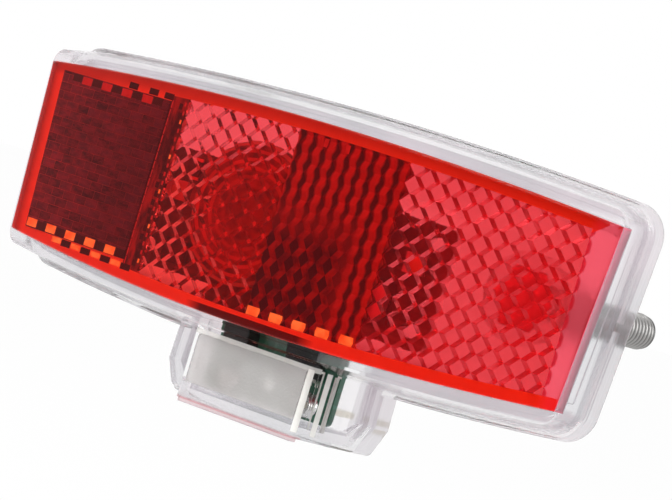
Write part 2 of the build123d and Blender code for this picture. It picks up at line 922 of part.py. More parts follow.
with BuildPart() as smoothing_capacitor:
    can_back_y = board_front_y - smoothing_base_height
    with BuildSketch(front_plane(can_back_y)):
        with Locations((smoothing_x, smoothing_z)):
            Circle(smoothing_diameter / 2)
    extrude(amount=smoothing_height)
    chamfer(smoothing_capacitor.faces().sort_by(Axis.Y)[0].edges(), body_round)
    with BuildSketch(front_plane(can_back_y - smoothing_groove_rise)):
        with Locations((smoothing_x, smoothing_z)):
            Circle(smoothing_diameter / 2)
            Circle(smoothing_diameter / 2 - smoothing_groove, mode=Mode.SUBTRACT)
    extrude(amount=2 * smoothing_groove, mode=Mode.SUBTRACT)
smoothing_capacitor.part.label = "smoothing_capacitor"
export_step(smoothing_capacitor.part, "parts/smoothing_capacitor.step")


# Driver transistor with its three leads
with BuildPart() as driver_transistor:
    add(
        board_body(
            (transistor_x, transistor_z),
            (transistor_width, transistor_length),
            transistor_height,
            0,
            body_round / 2,
        )
    )
driver_transistor.part.label = "driver_transistor"
export_step(driver_transistor.part, "parts/driver_transistor.step")

transistor_leads = bent_leads(
    lead_row(transistor_x, transistor_z - transistor_length / 2, 2, 2 * transistor_leg_pitch, -1)
    + lead_row(transistor_x, transistor_z + transistor_length / 2, 1, transistor_leg_pitch, 1),
    transistor_height / 2,
    (transistor_leg_reach, transistor_leg_width, transistor_leg_thickness),
)
transistor_leads.part.label = "transistor_leads"
export_step(transistor_leads.part, "parts/transistor_leads.step")


# Small resistors beside the light-emitting diodes, and ceramic capacitors
with BuildPart() as led_resistors:
    for x in (-resistor_x, resistor_x):
        add(end_capped((x, resistor_z), (small_width, small_length), resistor_height, (0, 1)))
led_resistors.part.label = "led_resistors"
export_step(led_resistors.part, "parts/led_resistors.step")

with BuildPart() as ceramic_capacitors:
    for place in ceramic_places:
        add(end_capped(place, (small_length, small_width), ceramic_height, (1, 0)))
ceramic_capacitors.part.label = "ceramic_capacitors"
export_step(ceramic_capacitors.part, "parts/ceramic_capacitors.step")
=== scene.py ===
# Dressed model of a bicycle rear light for an 80 mm carrier plate.
# Lengths are in millimetres, in the part's frame: x along the lens, +y to the carrier, +z up.
# The lens faces -y, and the housing's flat back is at y = 0.
import math

import bpy
from mathutils import Matrix, Vector
from mathutils.geometry import delaunay_2d_cdt


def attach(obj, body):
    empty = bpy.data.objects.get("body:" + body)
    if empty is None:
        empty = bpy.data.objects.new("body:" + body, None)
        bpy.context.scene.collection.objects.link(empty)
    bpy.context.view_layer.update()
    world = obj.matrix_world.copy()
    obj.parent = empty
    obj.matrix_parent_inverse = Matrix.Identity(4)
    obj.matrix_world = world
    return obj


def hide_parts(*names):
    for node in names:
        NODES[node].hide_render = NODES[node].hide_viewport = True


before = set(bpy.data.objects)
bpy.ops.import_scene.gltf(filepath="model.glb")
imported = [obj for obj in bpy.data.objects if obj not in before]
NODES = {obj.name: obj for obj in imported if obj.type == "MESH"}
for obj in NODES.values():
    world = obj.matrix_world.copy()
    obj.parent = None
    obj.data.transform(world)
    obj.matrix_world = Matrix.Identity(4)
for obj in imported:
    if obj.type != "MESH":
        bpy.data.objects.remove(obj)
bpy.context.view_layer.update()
MM = 0.001

scene = bpy.context.scene
scene.view_settings.view_transform = "Standard"
scene.cycles.max_bounces = 24
scene.cycles.transmission_bounces = 24
scene.cycles.glossy_bounces = 10
scene.cycles.diffuse_bounces = 4
scene.cycles.sample_clamp_indirect = 6.0

# Camera at the photo's angle, as fitted to the lens's corners
AZIMUTH, ELEVATION, ROLL = (math.radians(a) for a in (39.0, 0.899, 16.929))
CAMERA_PLACE = Vector((308.11, -380.07, 6.14)) * MM
CAMERA_LENS, CAMERA_SENSOR = 189.395, 36.0

cam_data = bpy.data.cameras.new("camera")
cam_data.sensor_width = CAMERA_SENSOR
cam_data.lens = CAMERA_LENS
cam_data.clip_start = 0.01
cam = bpy.data.objects.new("camera", cam_data)
bpy.context.collection.objects.link(cam)
back = Vector((
    math.sin(AZIMUTH) * math.cos(ELEVATION),
    -math.cos(AZIMUTH) * math.cos(ELEVATION),
    math.sin(ELEVATION),
))
right = Vector((math.cos(AZIMUTH), math.sin(AZIMUTH), 0))
up = back.cross(right)
axis_x = right * math.cos(ROLL) + up * math.sin(ROLL)
axis_y = up * math.cos(ROLL) - right * math.sin(ROLL)
cam.matrix_world = Matrix((
    (axis_x.x, axis_y.x, back.x, CAMERA_PLACE.x),
    (axis_x.y, axis_y.y, back.y, CAMERA_PLACE.y),
    (axis_x.z, axis_y.z, back.z, CAMERA_PLACE.z),
    (0, 0, 0, 1),
))
scene.camera = cam


# Helpers for node trees and pieces
def rgb(r, g, b):
    return (r, g, b, 1.0)


def grey(v):
    return (v, v, v, 1.0)


class Nodes:
    """Short way to build a node tree, that of a new material unless an owner is given."""

    def __init__(self, name, owner=None):
        self.mat = owner or bpy.data.materials.new(name)
        self.mat.use_nodes = True
        self.tree = self.mat.node_tree
        self.tree.nodes.clear()
        kind = "ShaderNodeOutputWorld" if owner else "ShaderNodeOutputMaterial"
        self.out = self.tree.nodes.new(kind)
        self.place = None

    def put(self, socket, value):
        if isinstance(value, bpy.types.NodeSocket):
            self.tree.links.new(value, socket)
        else:
            socket.default_value = value

    def add(self, kind, **values):
        node = self.tree.nodes.new(kind)
        for key, value in values.items():
            self.put(node.inputs[key.replace("_", " ")], value)
        return node

    def math(self, op, a, b=None, c=None, clamp=False):
        node = self.tree.nodes.new("ShaderNodeMath")
        node.operation = op
        node.use_clamp = clamp
        for socket, value in zip(node.inputs, (a, b, c)):
            if value is not None:
                self.put(socket, value)
        return node.outputs[0]

    def mix(self, factor, a, b):
        node = self.tree.nodes.new("ShaderNodeMix")
        node.data_type = "RGBA"
        self.put(node.inputs[0], factor)
        self.put(node.inputs[6], a)
        self.put(node.inputs[7], b)
        return node.outputs[2]

    def fold(self, op, masks):
        out = masks[0]
        for mask in masks[1:]:
            out = self.math(op, out, mask)
        return out

    def both(self, *masks):
        """One where all masks are."""
        return self.fold("MULTIPLY", masks)

    def either(self, *masks):
        """One where any mask is."""
        return self.fold("MAXIMUM", masks)

    def rise(self, value, start, span):
        """Zero up to the start, then rising over the span to one."""
        return self.math("DIVIDE", self.math("SUBTRACT", value, start), span, clamp=True)

    def band(self, value, low, high, soft=0.05):
        """One between low and high, nothing outside, with soft ends."""
        above = self.rise(value, low - soft, 2 * soft)
        below = self.math("DIVIDE", self.math("SUBTRACT", high + soft, value), 2 * soft, clamp=True)
        return self.math("MULTIPLY", above, below)

    def off_middle(self, value, pitch):
        """Distance from the middle of a repeating step, as a share of its pitch."""
        share = self.math("FRACT", self.math("DIVIDE", value, pitch))
        return self.math("ABSOLUTE", self.math("SUBTRACT", share, 0.5))

    def radius(self, dx, dz):
        """Distance from an axis along y."""
        squares = self.math("ADD", self.math("MULTIPLY", dx, dx), self.math("MULTIPLY", dz, dz))
        return self.math("SQRT", squares)

    def where(self):
        if self.place is None:
            self.place = self.tree.nodes.new("ShaderNodeTexCoord").outputs["Object"]
        return self.place

    def axes(self):
        """x, y and z in millimetres."""
        split = self.add("ShaderNodeSeparateXYZ", Vector=self.where())
        return [self.math("MULTIPLY", split.outputs[k], 1 / MM) for k in range(3)]

    def noise(self, scale, detail=3.0, rough=0.5, stretch=None):
        vector = self.where()
        if stretch:
            vector = self.add("ShaderNodeMapping", Vector=vector, Scale=stretch).outputs[0]
        node = self.add(
            "ShaderNodeTexNoise", Vector=vector, Scale=scale, Detail=detail, Roughness=rough
        )
        return node.outputs["Fac"]

    def speckle(self, low, high, *noise):
        """Noise with more contrast: nothing up to low, one from high on."""
        node = self.tree.nodes.new("ShaderNodeValToRGB")
        for element, at, level in zip(node.color_ramp.elements, (low, high), (0.0, 1.0)):
            element.position = at
            element.color = grey(level)
        self.put(node.inputs[0], self.noise(*noise))
        return node.outputs[0]

    def bump(self, height, strength, distance):
        node = self.add("ShaderNodeBump", Height=height, Strength=strength, Distance=distance)
        return node.outputs[0]

    def seen(self):
        """One for rays that show the surroundings: from the camera, refracted or mirrored."""
        path = self.tree.nodes.new("ShaderNodeLightPath").outputs
        return self.either(
            path["Is Camera Ray"], path["Is Transmission Ray"], path["Is Glossy Ray"]
        )

    def shader(self, **values):
        return self.add("ShaderNodeBsdfPrincipled", **values).outputs[0]

    def layer(self, factor, first, second):
        """Shader that turns from the first into the second with the factor."""
        node = self.add("ShaderNodeMixShader", Fac=factor)
        self.tree.links.new(first, node.inputs[1])
        self.tree.links.new(second, node.inputs[2])
        return node.outputs[0]

    def finish(self, shader):
        self.tree.links.new(shader, self.out.inputs[0])
        return self.mat

    def principled(self, **values):
        return self.finish(self.shader(**values))


def plain(name, tones, low, high, relief=None, **values):
    """Material mottled between two tones, and with a fine relief where one is given.

    tones is the noise's scale and detail. relief is the same with the bump's strength and
    distance behind it."""
    look = Nodes(name)
    if relief:
        values["Normal"] = look.bump(look.noise(*relief[:2]), *relief[2:])
    return look.principled(Base_Color=look.mix(look.noise(*tones), low, high), **values)


def dress(names, mat):
    for name in names:
        mesh = NODES[name].data
        mesh.materials.clear()
        mesh.materials.append(mat)


def place_in_scene(obj):
    bpy.context.collection.objects.link(obj)
    return obj


def piece(name, verts, faces, mats, smooth, index=None):
    """Object from corners in millimetres, riding on the root."""
    mesh = bpy.data.meshes.new(name)
    mesh.from_pydata([tuple(c * MM for c in v) for v in verts], [], faces)
    for mat in mats:
        mesh.materials.append(mat)
    if index:
        mesh.polygons.foreach_set("material_index", index)
    mesh.polygons.foreach_set("use_smooth", smooth)
    mesh.update()
    obj = place_in_scene(bpy.data.objects.new(name, mesh))
    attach(obj, "root")
    return obj


# Stage: a white floor, white seen all round, and soft light from above, in metres
FLOOR_REACH, FLOOR_Z = 3.0, -0.06
FLOOR_GREY, FLOOR_GLOW = 0.85, 0.97
WORLD_LEVEL, WORLD_SEEN = 0.6, 1.0

stage = Nodes("white_stage")
matt = stage.add("ShaderNodeBsdfDiffuse", Color=grey(FLOOR_GREY))
glow = stage.add("ShaderNodeEmission", Color=grey(1.0), Strength=1.0)
lit = stage.math("MULTIPLY", stage.seen(), FLOOR_GLOW)
stage.finish(stage.layer(lit, matt.outputs[0], glow.outputs[0]))
floor_mesh = bpy.data.meshes.new("floor")
floor_mesh.from_pydata(
    [(i * FLOOR_REACH, j * FLOOR_REACH, FLOOR_Z) for i, j in ((-1, -1), (1, -1), (1, 1), (-1, 1))],
    [],
    [(0, 1, 2, 3)],
)
floor_mesh.materials.append(stage.mat)
floor = place_in_scene(bpy.data.objects.new("floor", floor_mesh))

world = bpy.data.worlds.new("world")
scene.world = world
sky = Nodes("world", world)
level = sky.add("ShaderNodeMapRange", Value=sky.seen(), To_Min=WORLD_LEVEL, To_Max=WORLD_SEEN)
air = sky.add("ShaderNodeBackground", Color=grey(1.0), Strength=level.outputs[0])
sky.finish(air.outputs[0])


def lamp(name, place, size, power):
    """Soft square lamp aimed at the origin."""
    data = bpy.data.lights.new(name, "AREA")
    data.shape = "SQUARE"
    data.size = size
    data.energy = power
    obj = place_in_scene(bpy.data.objects.new(name, data))
    obj.location = place
    obj.rotation_euler = (-Vector(place)).to_track_quat("-Z", "Y").to_euler()


lamp("key", (-0.25, -0.45, 0.5), 0.35, 4.2)
lamp("fill", (0.55, -0.2, 0.25), 0.4, 1.4)

# Lens: a smooth bowed front with a rounded edge, and behind it fields of prisms, fine reflex
# fields and rows of small squares
HALF_TOP, HALF_LOW = 52.3, 50.5
HALF_END = 12.5
RISE_TOP, RISE_LOW = 2.2, 2.5
THICK = 2.17
EDGE, EDGE_MIDDLE_SHARE, EDGE_MIDDLE_DEPTH = 0.35, 0.72, 0.1
CHORD_Y, BOW = -10.5, 3.0
HALF = (HALF_TOP + HALF_LOW) / 2
BOW_RADIUS = (HALF ** 2 + BOW ** 2) / (2 * BOW)
GRID_X, GRID_Z = 104, 30

# Fields on the back: margin to the outline, hexagon across its flats, and reliefs
MARGIN = 1.7
FIELD_STEP = 2
LEFT_FIELD_LOW, LEFT_FIELD_HIGH, LEFT_FIELD_INSET = -11.6, 11.65, 2.1
ACROSS = 2.5
COLUMN = ACROSS * math.sqrt(3) / 2
CORNER = ACROSS / math.sqrt(3)
FACETS = (60, 180, 300)
CELLS_UP = 7
PRISM_BASE, PRISM_CUBE = -0.75, 2.04
REFLEX_BASE, REFLEX_CUBE = -0.2, 0.7
PRISMS_END = 47.3
ZONES = {
    "reflex_left": (-52.0, -26.7),
    "strip": (-26.7, -23.3),
    "prisms_mid": (-23.3, -1.9),
    "reflex_mid": (-1.9, 17.7),
    "prisms_right": (17.7, PRISMS_END),
}
CELLED = ("prisms_mid", "reflex_mid", "prisms_right")
LACQUER_NEAR, LACQUER_FAR = 0.01, 0.024
SHORTEST_EDGE, SAME_PLACE = 1e-3, 1e-4


def bow_y(x, depth):
    """y at a depth behind the lens's bowed front."""
    return CHORD_Y - BOW + depth + BOW_RADIUS - math.sqrt(BOW_RADIUS ** 2 - x * x)


def top_z(x):
    return HALF_END + RISE_TOP * (1 - (x / HALF_TOP) ** 2)


def low_z(x):
    return -HALF_END - RISE_LOW * (1 - (x / HALF_LOW) ** 2)


def lens_grid(inset):
    """Points over the lens outline, moved in by an inset, as rows of (x, z)."""
    rows = []
    for j in range(GRID_Z + 1):
        v = j / GRID_Z
        row = []
        for i in range(GRID_X + 1):
            half = HALF_LOW + (HALF_TOP - HALF_LOW) * v - inset
            x = (-1 + 2 * i / GRID_X) * half
            lo, hi = low_z(x) + inset, top_z(x) - inset
            row.append((x, lo + (hi - lo) * v))
        rows.append(row)
    return rows


def ring(rows):
    """The boundary of a grid, counter-clockwise seen from the front."""
    out = list(rows[0])
    out += [row[-1] for row in rows[1:]]
    out += list(reversed(rows[-1][:-1]))
    out += [row[0] for row in reversed(rows[1:-1])]
    return out


def field_low(name, x):
    return LEFT_FIELD_LOW if name == "reflex_left" else low_z(x) + MARGIN


def field_high(name, x):
    return LEFT_FIELD_HIGH if name == "reflex_left" else top_z(x) - MARGIN


def left_x(z):
    """Left side of the fine reflex field, which leans with the lens's end."""
    half = HALF_LOW + (HALF_TOP - HALF_LOW) * (z + HALF_END) / (2 * HALF_END)
    return -half + LEFT_FIELD_INSET


def box_ring(cx, cz, width, height):
    w, h = width / 2, height / 2
    return [(cx - w, cz - h), (cx + w, cz - h), (cx + w, cz + h), (cx - w, cz + h)]


def inside_box(box, x, z):
    return box[0][0] < x < box[1][0] and box[0][1] < z < box[2][1]


# Rows of squares along the left field: how many steps, first x and step, and for the squares of
# a step the kind, shift in x, z, change of z a step, width and height
SQUARE_ROWS = (
    (5, -47.3, 4.35, (
        ("orange", 0.0, -10.85, -0.03, 2.15, 1.2),
        ("black", 2.2, -10.95, 0.0, 2.0, 1.2),
    )),
    (4, -41.2, 4.35, (
        ("orange", 0.0, -12.1, -0.12, 2.0, 0.75),
        ("black", 2.15, -12.2, -0.12, 2.0, 0.9),
    )),
    (4, -44.6, 4.4, (("bright", 0.0, 10.95, 0.0, 2.1, 1.1),)),
    (5, -46.8, 4.4, (("black", 0.0, 11.05, 0.0, 2.0, 1.05),)),
)
SQUARES = []
for steps, first_x, step_x, squares in SQUARE_ROWS:
    for k in range(steps):
        for kind, shift, z, change, width, height in squares:
            box = box_ring(first_x + step_x * k + shift, z + change * k, width, height)
            SQUARES.append((kind, box))
# Loose dark squares above the left field: x of each, z, width and height
LOOSE_X, LOOSE_BOX = (-34.9, -30.6, -27.4), (12.2, 1.9, 0.9)
for at in LOOSE_X:
    SQUARES.append(("black", box_ring(at, *LOOSE_BOX)))
# Squares and ticks that follow the centre field's sides: kind, how many, first x, step, line
# that they follow and distance from it, width and height
CENTRE_ROWS = (
    ("orange", 5, -0.7, 4.15, low_z, 2.35, 2.2, 1.25),
    ("bright", 4, 3.0, 3.95, top_z, -2.6, 0.6, 1.2),
)
for kind, steps, first_x, step_x, line, off, width, height in CENTRE_ROWS:
    for k in range(steps):
        at = first_x + step_x * k
        SQUARES.append((kind, box_ring(at, line(at) + off, width, height)))
# Stitches down the strip between the left field and the prisms
STITCHES, STITCH_START, STITCH_STEP = 19, -11.6, 1.27
for k in range(STITCHES):
    at = STITCH_START + STITCH_STEP * k
    SQUARES.append(("black", box_ring(-24.6 + 0.15 * (k % 3), at, 0.7, 0.85)))
    kind = "bright" if k % 4 else "orange"
    SQUARES.append((kind, box_ring(-23.85 + 0.1 * (k % 2), at + 0.45, 0.35, 0.6)))
    SQUARES.append(("bright", box_ring(-26.4, at, 0.2, 1.1)))

# Looks of the lens's faces, and those of them that light passes
SHADES = (
    "front", "border", "side", "pink", "prism", "scales", "brick",
    "cells", "shaded_face", "strip", "orange", "black", "bright",
)
CLEAR = ("front", "side", "pink", "prism", "scales")


class Mesh:
    """Corners and faces of the lens, with each face's shade and smoothing."""

    def __init__(self):
        self.verts, self.faces, self.index, self.smooth = [], [], [], []

    def put(self, x, y, z):
        self.verts.append((x, y, z))
        return len(self.verts) - 1

    def face(self, corners, shade, rounded=False):
        self.faces.append(tuple(corners))
        self.index.append(SHADES.index(shade))
        self.smooth.append(rounded)


class Plan:
    """Points and edges of the lens's back, seen from the front."""

    def __init__(self):
        self.points, self.edges, self.seen_at = [], [], {}

    def point(self, x, z):
        key = (round(x, 3), round(z, 3))
        if key not in self.seen_at:
            self.seen_at[key] = len(self.points)
            self.points.append(Vector((x, z)))
        return self.seen_at[key]

    def loop(self, corners):
        ids = [self.point(x, z) for x, z in corners]
        for k in range(len(ids)):
            self.edges.append((ids[k], ids[(k + 1) % len(ids)]))

    def hexagon(self, cell, x0, x1):
        """A hexagon and the three ridges from its middle, cut at a zone's sides."""
        cx, cz = cell
        corners = []
        for k in range(6):
            a = math.radians(60 * k)
            corners.append((cx + CORNER * math.cos(a), cz + CORNER * math.sin(a)))
        sides = [(corners[k], corners[(k + 1) % 6]) for k in range(6)]
        sides += [(cell, corners[k]) for k in (0, 2, 4)]
        for (ax, az), (bx, bz) in sides:
            lo, hi = 0.0, 1.0
            if bx != ax:
                cuts = sorted(((x0 - ax) / (bx - ax), (x1 - ax) / (bx - ax)))
                lo, hi = max(lo, cuts[0]), min(hi, cuts[1])
            elif not x0 <= ax <= x1:
                continue
            if hi - lo < SHORTEST_EDGE:
                continue
            start = self.point(ax + (bx - ax) * lo, az + (bz - az) * lo)
            end = self.point(ax + (bx - ax) * hi, az + (bz - az) * hi)
            self.edges.append((start, end))


def cells(x0, x1):
    """Centres of the hexagonal cells that touch a zone."""
    middle = (x0 + x1) / 2
    count = int((x1 - x0) / 2 / COLUMN) + 2
    out = []
    for i in range(-count, count + 1):
        cx = middle + i * COLUMN
        shift = ACROSS / 2 if i % 2 else 0
        if cx + CORNER <= x0 or cx - CORNER >= x1:
            continue
        for j in range(-CELLS_UP, CELLS_UP + 1):
            out.append((cx, j * ACROSS + shift))
    return out


LATTICE = {name: cells(*ZONES[name]) for name in CELLED}


def zone_of(x, z):
    for name, (x0, x1) in ZONES.items():
        if max(x0, left_x(z)) < x < x1 and field_low(name, x) < z < field_high(name, x):
            return name
    return "border"


def near_cell(name, x, z):
    return min(LATTICE[name], key=lambda c: (c[0] - x) ** 2 + (c[1] - z) ** 2)


def facet(cell, x, z):
    """Height share of the corner cube at a point, and which of its faces it is on."""
    dx, dz = x - cell[0], z - cell[1]
    rise = [dx * math.cos(math.radians(a)) + dz * math.sin(math.radians(a)) for a in FACETS]
    return 1 - max(rise) / CORNER, rise.index(max(rise))


def relief(points, x, z):
    """Shade, field and corner depths of a triangle on the back with its middle at x, z."""
    zone = zone_of(x, z)
    if zone.startswith("prisms"):
        cell = near_cell(zone, x, z)
        depth = [PRISM_BASE + PRISM_CUBE * facet(cell, p.x, p.y)[0] for p in points]
        shade, field = "prism" if zone == "prisms_mid" else "scales", zone
    elif zone == "reflex_mid":
        cell = near_cell(zone, x, z)
        depth = [REFLEX_BASE + REFLEX_CUBE * facet(cell, p.x, p.y)[0] for p in points]
        # The left face of each centre cube takes the painted shade
        shade, field = "shaded_face" if facet(cell, x, z)[1] == 1 else "cells", zone
    elif zone == "reflex_left":
        shade, field, depth = "brick", zone, [REFLEX_BASE] * 3
    else:
        shade, field, depth = zone, "border", [0.0] * 3
        if x > PRISMS_END and low_z(x) + MARGIN < z < top_z(x) - MARGIN:
            shade = "pink"
    if not zone.startswith("prisms"):
        for kind, box in SQUARES:
            if inside_box(box, x, z):
                shade = kind
    return shade, field, depth


def lens_front(mesh):
    """Front, rounded edge and side walls. Gives the outline and its corners at the back."""
    outer, inner = lens_grid(0.0), lens_grid(EDGE)
    front = [[mesh.put(x, bow_y(x, 0), z) for x, z in row] for row in inner]
    for j in range(GRID_Z):
        for i in range(GRID_X):
            square = (front[j][i], front[j][i + 1], front[j + 1][i + 1], front[j + 1][i])
            mesh.face(square, "front", True)
    rim, rim_in = ring(outer), ring(inner)
    mid_ring = []
    for (x, z), (xi, zi) in zip(rim, rim_in):
        xm = x * EDGE_MIDDLE_SHARE + xi * (1 - EDGE_MIDDLE_SHARE)
        zm = z * EDGE_MIDDLE_SHARE + zi * (1 - EDGE_MIDDLE_SHARE)
        mid_ring.append(mesh.put(xm, bow_y(xm, EDGE_MIDDLE_DEPTH), zm))
    out_ring = [mesh.put(x, bow_y(x, EDGE), z) for x, z in rim]
    back_ring = [mesh.put(x, bow_y(x, THICK), z) for x, z in rim]
    rings = (ring(front), mid_ring, out_ring, back_ring)
    for a, b in zip(rings, rings[1:]):
        shade = "side" if b is back_ring else "front"
        for k in range(len(a)):
            m = (k + 1) % len(a)
            mesh.face((a[k], b[k], b[m], a[m]), shade, True)
    return rim, back_ring


def lens_plan(rim):
    """The back's outline, fields, squares and hexagons, cut into triangles."""
    plan = Plan()
    plan.loop(rim)
    for name, (x0, x1) in ZONES.items():
        low_x, high_x = max(x0, left_x(-HALF_END + 1)), max(x0, left_x(HALF_END - 1))
        steps = max(2, int((x1 - x0) / FIELD_STEP))
        share = [k / steps for k in range(steps + 1)]
        lows = [low_x + (x1 - low_x) * v for v in share]
        highs = [high_x + (x1 - high_x) * v for v in share]
        under = [(x, field_low(name, x)) for x in lows]
        over = [(x, field_high(name, x)) for x in reversed(highs)]
        plan.loop(under + over)
    for _, box in SQUARES:
        plan.loop(box)
    for name in CELLED:
        for cx, cz in LATTICE[name]:
            if low_z(cx) + MARGIN - CORNER < cz < top_z(cx) - MARGIN + CORNER:
                plan.hexagon((cx, cz), *ZONES[name])
    result = delaunay_2d_cdt(plan.points, plan.edges, [], 1, SAME_PLACE, True)
    return result[0], result[2], result[3]


def wall_shade(fields):
    """Shade of the step between two fields, from their joined names."""
    if "prisms" in fields and "reflex" not in fields:
        return "scales" if "prisms_right" in fields else "prism"
    return "brick" if "reflex_left" in fields else "cells"


def lens_walls(mesh, sides_at):
    """Steps between neighbouring fields whose depths differ."""
    for sides in sides_at.values():
        if len(sides) != 2 or sides[0][0] == sides[1][0]:
            continue
        (field, start, a1, b1), (other, other_start, a2, b2) = sides
        if other_start != start:
            a2, b2 = b2, a2
        wall = [a1, b1, b2, a2]
        high = [mesh.verts[v][1] for v in wall]
        wall = [v for n, v in enumerate(wall) if v not in wall[:n]]
        step = max(abs(high[0] - high[3]), abs(high[1] - high[2]))
        if len(wall) >= 3 and step > SAME_PLACE:
            mesh.face(wall, wall_shade(field + other))


def build_backing(verts, covered, lacquer):
    """Thin red lacquer that follows the back of the lens's opaque fields."""
    points, faces, ids, outline = [], [], {}, {}
    for corners in covered:
        for v in corners:
            if v not in ids:
                ids[v] = len(points)
                x, y, z = verts[v]
                points += [(x, y + LACQUER_NEAR, z), (x, y + LACQUER_FAR, z)]
        a, b, c = (ids[v] for v in corners)
        faces += [(a, b, c), (c + 1, b + 1, a + 1)]
        for m, n in ((a, b), (b, c), (c, a)):
            if (n, m) in outline:
                del outline[(n, m)]
            else:
                outline[(m, n)] = True
    faces += [(n, m, m + 1, n + 1) for m, n in outline]
    piece("lens_backing", points, faces, [lacquer], [False] * len(faces))


def build_lens(shades, lacquer):
    mesh = Mesh()
    rim, back_ring = lens_front(mesh)
    flat, triangles, source = lens_plan(rim)
    made, sides_at, covered = {}, {}, []

    def corner_at(k, depth, field):
        """The mesh's corner at a point of the plan, shared within a field."""
        key = (k, field)
        if key not in made:
            p = flat[k]
            if field == "border" and source[k] and source[k][0] < len(rim):
                made[key] = back_ring[source[k][0]]
            else:
                made[key] = mesh.put(p.x, bow_y(p.x, THICK + depth), p.y)
        return made[key]

    for t in triangles:
        x = sum(flat[k].x for k in t) / 3
        z = sum(flat[k].y for k in t) / 3
        if not low_z(x) < z < top_z(x):
            continue
        shade, field, depth = relief([flat[k] for k in t], x, z)
        corners = [corner_at(k, d, field) for k, d in zip(t, depth)]
        mesh.face(reversed(corners), shade)
        if shade not in CLEAR:
            covered.append(corners)
        for a, b in ((0, 1), (1, 2), (2, 0)):
            key = (min(t[a], t[b]), max(t[a], t[b]))
            sides_at.setdefault(key, []).append((field, t[a], corners[a], corners[b]))
    lens_walls(mesh, sides_at)
    build_backing(mesh.verts, covered, lacquer)
    mats = [shades[name] for name in SHADES]
    lens = piece("lens", mesh.verts, mesh.faces, mats, mesh.smooth, mesh.index)
    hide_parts("red_lens")


# Looks of the lens
ACRYLIC_IOR = 1.49
CLEAR_RED = dict(Roughness=0.015, IOR=1.36, Specular_Tint=grey(0.04), Transmission_Weight=1.0)
SIDE_X = 49.0
# Where the border gets painted shade of the pocket behind it, and where the board's end shows
# through the prisms
POCKET_SHADE_X, POCKET_SHADE_Z = (-11.5, 9.5), -13.9
BOARD_END_X, BOARD_END_Z = (10.0, 28.0), (-10.0, 7.0)
# Centre field: its stripes and their waves, and where its light begins with the span it takes
STRIPE_PITCH, STRIPE_SHIFT, STRIPE_DARK = 2.15, 1.7, (0.12, 0.54)
WAVE_TURN, WAVE_DEPTH = 2.513, 0.13
LIT_ABOVE, LIT_RIGHT = (-2.0, 6.0), (10.5, 3.0)


def border_look():
    look = Nodes("red_acrylic_border")
    x, _, z = look.axes()
    pocket_shade = look.both(
        look.band(x, *POCKET_SHADE_X, 1.5), look.math("LESS_THAN", z, POCKET_SHADE_Z)
    )
    tone = look.mix(look.noise(300.0, 4.0), rgb(0.92, 0.34, 0.10), rgb(1.0, 0.50, 0.16))
    tone = look.mix(look.rise(x, 46.8, 1.6), tone, rgb(1.0, 0.45, 0.50))
    # Painted shade of the pocket behind the border: near black below the lens, over the pocket
    tone = look.mix(pocket_shade, tone, rgb(0.10, 0.004, 0.004))
    normal = look.bump(look.noise(250.0, 3.0), 0.2, 0.0003)
    return look.principled(Base_Color=tone, Roughness=0.4, Normal=normal)


def side_look():
    look = Nodes("red_acrylic_side")
    x = look.axes()[0]
    tone = look.mix(look.noise(300.0, 4.0), rgb(0.66, 0.030, 0.030), rgb(0.84, 0.060, 0.070))
    tone = look.mix(look.math("GREATER_THAN", x, SIDE_X), tone, rgb(0.95, 0.16, 0.26))
    tone = look.mix(look.math("LESS_THAN", x, -SIDE_X), tone, rgb(1.0, 0.16, 0.07))
    return look.principled(Base_Color=tone, Roughness=0.3)


def prism_look():
    """Prisms of the middle field, rosier above a slanting line."""
    look = Nodes("red_acrylic_prisms")
    x, _, z = look.axes()
    slant = look.math("ADD", z, look.math("MULTIPLY", x, -0.25))
    tone = look.mix(look.rise(slant, 8.0, 4.0), rgb(0.98, 0.070, 0.045), rgb(1.0, 0.22, 0.36))
    mottled = look.math("MULTIPLY", look.noise(600.0), 0.5)
    return look.principled(
        Base_Color=look.mix(mottled, tone, rgb(0.72, 0.05, 0.10)),
        Roughness=0.02,
        IOR=ACRYLIC_IOR,
        Transmission_Weight=0.90,
        Normal=look.bump(look.noise(500.0, 3.0), 0.14, 0.0004),
    )


def scales_look():
    """Prisms of the right field, clearer where the board's end shows through."""
    look = Nodes("red_acrylic_scales")
    x, _, z = look.axes()
    board_end = look.both(look.band(x, *BOARD_END_X, 2.0), look.band(z, *BOARD_END_Z, 2.0))
    return look.principled(
        Base_Color=look.mix(look.noise(500.0, 3.0), rgb(0.84, 0.14, 0.24), rgb(0.98, 0.24, 0.40)),
        Roughness=0.09,
        IOR=ACRYLIC_IOR,
        Transmission_Weight=look.math("MULTIPLY_ADD", board_end, 0.26, 0.62),
        Normal=look.bump(look.noise(500.0, 3.0), 0.2, 0.0004),
    )


def strip_look():
    look = Nodes("reflex_strip")
    streaks = look.speckle(0.42, 0.62, 700.0, 5.0, 0.65, (1.0, 1.0, 0.35))
    return look.principled(
        Base_Color=look.mix(streaks, rgb(0.06, 0.006, 0.020), rgb(0.36, 0.04, 0.04)),
        Roughness=0.3,
        Normal=look.bump(look.noise(700.0, 4.0), 0.5, 0.0003),
    )


def orange_glow_look():
    """Squares with a painted glow: an emission that stands in for the light these reflex squares
    send back.
    """
    look = Nodes("reflex_orange_glow")
    glow_patches = look.speckle(0.35, 0.62, 700.0, 4.0)
    return look.principled(
        Base_Color=rgb(0.5, 0.2, 0.02),
        Roughness=0.5,
        # Painted glow: emission mottled between two oranges
        Emission_Color=look.mix(glow_patches, rgb(0.70, 0.34, 0.06), rgb(1.0, 0.90, 0.20)),
        Emission_Strength=0.8,
    )


